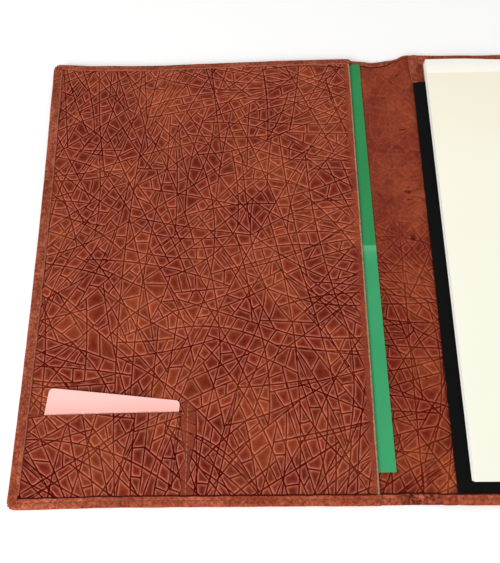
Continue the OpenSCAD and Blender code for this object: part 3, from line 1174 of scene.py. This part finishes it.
def panel_rubbed(x, y):
    """The leather beside the free edge is rubbed."""
    return 0.7 * smooth(PANEL_RIGHT - 5.5, PANEL_RIGHT - 2.5, x)


panel = relief("document_pocket", -HALF_W + 5, PANEL_RIGHT, *PANEL_Y, panel_height,
               [EMBOSSED, RAW], 7, panel_strength, slit_lines(), outside_slit, in_edge_strip,
               thickness=PANEL_T, rubbed=panel_rubbed)
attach(panel, "front_cover")
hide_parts("document_pocket_panel")


def tan_row():
    bm = bmesh.new()
    y = ROW[0][1]
    while y + PITCH * 0.75 < ROW[1][1] + 1:
        z = panel_height(ROW_X, y)
        start = settle(ROW_X + 0.1 * wave(0, y, 4, 1), y + 0.25, z)
        end = settle(ROW_X + 0.1 * wave(0, y, 4, 2), y + PITCH - 0.35, z)
        add_capsule(bm, start, end, TAN_STITCH_W * MM, STITCH_H * MM, TAN_STITCH_SINK * MM)
        y += PITCH
    bmesh.ops.recalc_face_normals(bm, faces=bm.faces)
    return new_object("card_pocket_stitches", bm, [TAN])


row = tan_row()
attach(row, "front_cover")
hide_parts("card_pocket_stitching")


# ---------------------------------------------------------------- plates: card, sheet, cloth

def rounded_corner_shift(x, y, w, h, r, outer_only=False):
    """Moves a point of a w by h grid so that the grid's outline gets round corners."""
    if outer_only and x < w / 2:
        return x, y
    dx = max(0.0, abs(x - w / 2) - (w / 2 - r))
    dy = max(0.0, abs(y - h / 2) - (h / 2 - r))
    if r <= 0 or dx == 0 or dy == 0:
        return x, y
    k = max(dx, dy) / math.hypot(dx, dy)
    sx = math.copysign(1, x - w / 2)
    sy = math.copysign(1, y - h / 2)
    return w / 2 + sx * (w / 2 - r + dx * k), h / 2 + sy * (h / 2 - r + dy * k)


def grid_places(length, count, near_ends):
    """Even places along a side, and more of them at these distances from both ends."""
    even = {length * i / count for i in range(count + 1)}
    return sorted(even | {v for e in near_ends for v in (e, length - e)})


def plate(name, w, h, thickness, place, materials, cells, r=0.0, edge_rows=(), outer_only=False):
    """A thin plate on a grid: place(x, y) gives its underside's point in millimetres."""
    bm = bmesh.new()
    xs = grid_places(w, cells[0], edge_rows)
    ys = grid_places(h, cells[1], edge_rows)
    layers = []
    for lift in (0.0, thickness):
        grid = []
        for x in xs:
            column = []
            for y in ys:
                px, py = rounded_corner_shift(x, y, w, h, r, outer_only)
                qx, qy, qz = place(px, py)
                column.append(bm.verts.new(settle(qx, qy, qz + lift)))
            grid.append(column)
        layers.append(grid)
    low, high = layers
    nx, ny = len(xs) - 1, len(ys) - 1
    for i in range(nx):
        for j in range(ny):
            for grid in (low, high):
                bm.faces.new((grid[i][j], grid[i + 1][j], grid[i + 1][j + 1], grid[i][j + 1]))
    border = ([(i, 0) for i in range(nx)] + [(nx, j) for j in range(ny)]
              + [(i, ny) for i in range(nx, 0, -1)] + [(0, j) for j in range(ny, 0, -1)])
    for a, b in zip(border, border[1:] + border[:1]):
        face = bm.faces.new((low[a[0]][a[1]], low[b[0]][b[1]], high[b[0]][b[1]], high[a[0]][a[1]]))
        face.material_index = min(1, len(materials) - 1)
        face.smooth = False
    bmesh.ops.recalc_face_normals(bm, faces=bm.faces)
    return new_object(name, bm, materials)


def sharpen(piece, degrees=40):
    """Keeps a plate's rim crisp while its face stays smooth."""
    bm = bmesh.new()
    bm.from_mesh(piece.data)
    for e in bm.edges:
        if len(e.link_faces) == 2 and e.calc_face_angle() > math.radians(degrees):
            e.smooth = False
    bm.to_mesh(piece.data)
    bm.free()


CARD_Z = 5.1  # height of the card where the lower hem ends
CARD_SLOPE = (PANEL_TOP + 0.3 - CARD_Z) / (SLIT_Y + HALF_H - HEM_W)


def card_place(x, y):
    """The card slopes up through the slit, and its free part bows a little."""
    qx = CARD_LOW[0] + x * math.cos(CARD_TILT) + y * math.sin(CARD_TILT)
    qy = CARD_LOW[1] - x * math.sin(CARD_TILT) + y * math.cos(CARD_TILT)
    out = smooth(SLIT_Y - 6, SLIT_Y + 16, qy)
    bow = 0.75 * math.sin(math.pi * x / CARD_SIZE[0]) * out
    return qx, qy, CARD_Z + (qy + HALF_H - HEM_W) * CARD_SLOPE + bow


card = plate("pink_card", *CARD_SIZE, CARD_T, card_place, [PINK], r=CARD_R, cells=(60, 40),
             edge_rows=(0.4, 0.9, 1.5, 2.2))
sharpen(card)
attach(card, "card")
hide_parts("business_card")


def sheet_place(x, y):
    """The sheet was folded once across the middle, so its crease stands up a little."""
    from_right = x - SHEET_SIZE[0]
    qx = SHEET_RIGHT_X + from_right * math.cos(SHEET_TILT) - y * math.sin(SHEET_TILT)
    qy = SHEET_LOW_Y + from_right * math.sin(SHEET_TILT) + y * math.cos(SHEET_TILT)
    from_crease = abs(y - SHEET_SIZE[1] / 2)
    ridge = 0.7 * math.exp(-from_crease / 6.0)
    free = smooth(PANEL_RIGHT - 2, PANEL_RIGHT + 8, qx)
    on_hem = 0.75 * smooth(HALF_H - TOP_HEM_W - 15, HALF_H - TOP_HEM_W - 8, qy)
    return qx, qy, SHEET[0][2] + ridge + (0.25 + on_hem) * free + 0.06 * wave(qx, qy, 30, 4)


sheet_piece = plate("green_sheet", *SHEET_SIZE, SHEET_T, sheet_place, [GREEN], cells=(42, 120))
sharpen(sheet_piece)
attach(sheet_piece, "document")
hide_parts("green_document")


BOARD_R = 3.8


def board(node, body):
    low, high = node_box(node)
    w, h, thickness = (b - a for a, b in zip(low, high))

    def place(x, y):
        return low[0] + x, low[1] + y, low[2]

    piece = plate(node + "_piece", w, h, thickness, place, [BOARD], r=BOARD_R, cells=(24, 32),
                  edge_rows=(1.2, 2.5, BOARD_R))
    sharpen(piece)
    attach(piece, body)
    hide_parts(node)


board("front_stiffener_board", "front_cover")
board("back_stiffener_board", "back_cover")

CLOTH_T = 0.5
CLOTH_SIZE = (HALF_W - 1.5 - BLACK[0][0], BLACK[1][1] - BLACK[0][1])


def cloth_place(x, y):
    """The black panel is stretched over the pad's board, with a slack left side and a wavy edge."""
    qx = BLACK[0][0] + x
    qy = BLACK[0][1] + y
    slack = smooth(9, 2, x)
    qx -= 0.25 * wave(0, qy, 6, 6) * smooth(3, 0, x)
    lift = 0.22 * slack * wave(qx, qy, 22, 2) + 0.10 * wave(qx, qy, 45, 6)
    mouth = smooth(CLOTH_SIZE[1] - 5, CLOTH_SIZE[1], y)
    right_hem = CLOTH_SIZE[0] - HEM_W
    at_hem = smooth(HEM_W + 3, HEM_W - 1, y) + smooth(right_hem - 3, right_hem + 1, x)
    return qx, qy, BLACK[1][2] - CLOTH_T + lift * (1 - clamp(at_hem)) - 0.25 * mouth


cloth = plate("black_pad_panel", *CLOTH_SIZE, CLOTH_T, cloth_place, [CLOTH], r=3.0, cells=(90, 110),
              edge_rows=(0.4, 1.0, 2.0), outer_only=True)
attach(cloth, "back_cover")
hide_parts("pad_pocket_panel", "back_lining_fabric")

BAND_LEFT = 17.0
BAND_SIZE = (HALF_W - HEM_W - BAND_LEFT - 0.5, 22.0)


def band_place(x, y):
    """The band lies low under the pad, and its left end rises over the lining."""
    qx = BAND_LEFT + x + 1.8 * (1 - y / BAND_SIZE[1]) * smooth(8, 0, x)
    qy = BLACK[1][1] + y
    z = mix(5.6, BAND[0][2], smooth(21.5, 27, qx))
    return qx, qy, z + 0.05 * wave(qx, qy, 12, 3)


band = plate("top_band", *BAND_SIZE, 0.8, band_place, [HEM, RAW], cells=(110, 12), edge_rows=(0.5,))
sharpen(band)
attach(band, "back_cover")
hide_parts("top_band_leather")


# ---------------------------------------------------------------- writing pad

HEAD_DIP = 1.6   # how far the head of the pad is pushed in, away from its left corner
TAPE_OVER = 0.6  # how far the head strip reaches beyond its CAD lower edge


def head_dip(x):
    return HEAD_DIP * smooth(22, 62, x - PAGES[0][0])


def page_stack():
    """The leaves in small bundles, each a hair out of line with the next."""
    rng = random.Random(4)
    bundles = 12
    low, high = PAGES
    w, h = high[0] - low[0], high[1] - low[1]
    bm = bmesh.new()
    outline = []
    for x, y, start, r in ((w, h, 0, 2.0), (0, h, 90, 2.0), (0, 0, 180, 0.5), (w, 0, 270, 0.5)):
        cx = x + r * math.copysign(1, w / 2 - x)
        cy = y + r * math.copysign(1, h / 2 - y)
        outline += arc(cx, cy, r, start, 90, 6)
        if start == 0:
            outline += [(cx - 6.0 * k, h) for k in range(1, int((w - 2 * r) / 6))]
    rings = []
    for b in range(bundles):
        z0 = mix(low[2], high[2], b / bundles)
        z1 = mix(low[2], high[2], (b + 1) / bundles)
        shift = (rng.gauss(0, 0.12), rng.gauss(0, 0.12) if b < bundles - 1 else 0.0)
        for z, inward in ((z0 + 0.02, 0.10), (mix(z0, z1, 0.3), 0.0), (mix(z0, z1, 0.75), 0.0),
                          (z1 - 0.02, 0.08)):
            ring = []
            for x, y in outline:
                ix = x + inward * math.copysign(1, w / 2 - x) + shift[0]
                iy = y + inward * math.copysign(1, h / 2 - y) + min(0, shift[1])
                iy -= head_dip(low[0] + x) * smooth(h / 2, h, y)
                ring.append(bm.verts.new(Vector(((low[0] + ix) * MM, (low[1] + iy) * MM, z * MM))))
            rings.append(ring)
    join_rings(bm, rings)
    bmesh.ops.recalc_face_normals(bm, faces=bm.faces)
    piece = new_object("pad_leaves", bm, [LEAVES])
    sharpen(piece, 35)
    return piece


pages = page_stack()
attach(pages, "writing_pad")
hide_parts("pad_pages")


def head_tape():
    """Tape over the pad's head: a strip on the front, rounded over the edge and down the back."""
    low, high = TAPE
    t = 0.2
    y0, y1, z0, z1 = low[1] - TAPE_OVER, high[1], low[2], high[2]
    round_r = 0.9
    outer = [(y0, z1 - t + 0.02), (y0 + 0.3, z1 + 0.02), (y1 - 5, z1 + 0.06)]
    outer += arc(y1 - round_r, z1 - round_r, round_r, 90, -90, 6)
    outer.append((y1, z0))
    inner = [(y1 - t, z0), (y1 - t, z1 - t - 0.5), (y1 - t - 0.5, z1 - t), (y0, z1 - t)]
    section = outer + inner
    bm = bmesh.new()
    rings = []
    steps = 60
    x0, x1 = PAGES[0][0] + 0.3, PAGES[1][0] - 0.3
    for i in range(steps + 1):
        x = mix(x0, x1, i / steps)
        wobble = 0.25 * wave(x, 0, 9, 5)
        ring = []
        for y, z in section:
            y += wobble if y < y0 + 1 else -head_dip(x) * smooth(y0, y1, y)
            ring.append(bm.verts.new(Vector((x * MM, y * MM, z * MM))))
        rings.append(ring)
    join_rings(bm, rings)
    bmesh.ops.recalc_face_normals(bm, faces=bm.faces)
    piece = new_object("pad_head_strip", bm, [TAPE_PAPER])
    sharpen(piece, 50)
    return piece


tape = head_tape()
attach(tape, "writing_pad")
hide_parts("pad_head_tape")

for node, material in (("pad_backing_board", BOARD), ("pad_head_glue", GLUE),
                       ("card_pocket_backing", HEM)):
    ob = bpy.data.objects[node]
    ob.data.materials.clear()
    ob.data.materials.append(material)


# ---------------------------------------------------------------- stage, light and camera

def studio_floor():
    bm = bmesh.new()
    bmesh.ops.create_grid(bm, x_segments=2, y_segments=2, size=4.0)
    floor = new_object("studio_floor", bm, [])
    n = Nodes("studio_paper")
    n.colour(n.ramp(n.noise(3, 2), (0.0, (0.99, 0.99, 0.99)), (1.0, (1.0, 1.0, 1.0))))
    floor.data.materials.append(n.finish(Roughness=0.9, Specular_IOR_Level=0.1))
    floor.location.z = -0.0002


def area_light(name, place, aim, size, power, colour):
    light = bpy.data.lights.new(name, "AREA")
    light.shape = "RECTANGLE"
    light.size, light.size_y = size
    light.energy = power
    light.color = colour
    lamp = bpy.data.objects.new(name, light)
    lamp.location = place
    lamp.rotation_euler = (Vector(aim) - Vector(place)).to_track_quat("-Z", "Y").to_euler()
    bpy.context.scene.collection.objects.link(lamp)


studio_floor()
area_light("key", (-0.85, -0.75, 0.95), (-0.1, 0.0, 0.0), (0.9, 0.7), 14.0, (1.0, 0.98, 0.96))
area_light("fill", (0.5, 0.2, 1.8), (0.0, 0.0, 0.0), (1.6, 1.6), 9.0, (0.98, 0.99, 1.0))

world = bpy.data.worlds.new("studio")
world.use_nodes = True
world.node_tree.nodes["Background"].inputs["Color"].default_value = (1.0, 1.0, 1.0, 1.0)
world.node_tree.nodes["Background"].inputs["Strength"].default_value = 0.47
bpy.context.scene.world = world
bpy.context.scene.view_settings.view_transform = "Standard"

CAMERA_PLACE = (-0.0986, -0.1062, 0.3342)
CAMERA_TURN = (15.20, 1.213, -0.528)
FOCAL_PER_WIDTH = 1.0054  # focal length over the picture's width

camera_data = bpy.data.cameras.new("camera")
camera_data.sensor_fit = "HORIZONTAL"
camera_data.sensor_width = 36.0
camera_data.lens = 36.0 * FOCAL_PER_WIDTH
camera_data.clip_start = 0.01
camera = bpy.data.objects.new("camera", camera_data)
camera.location = CAMERA_PLACE
camera.rotation_euler = [math.radians(v) for v in CAMERA_TURN]
bpy.context.scene.collection.objects.link(camera)
bpy.context.scene.camera = camera
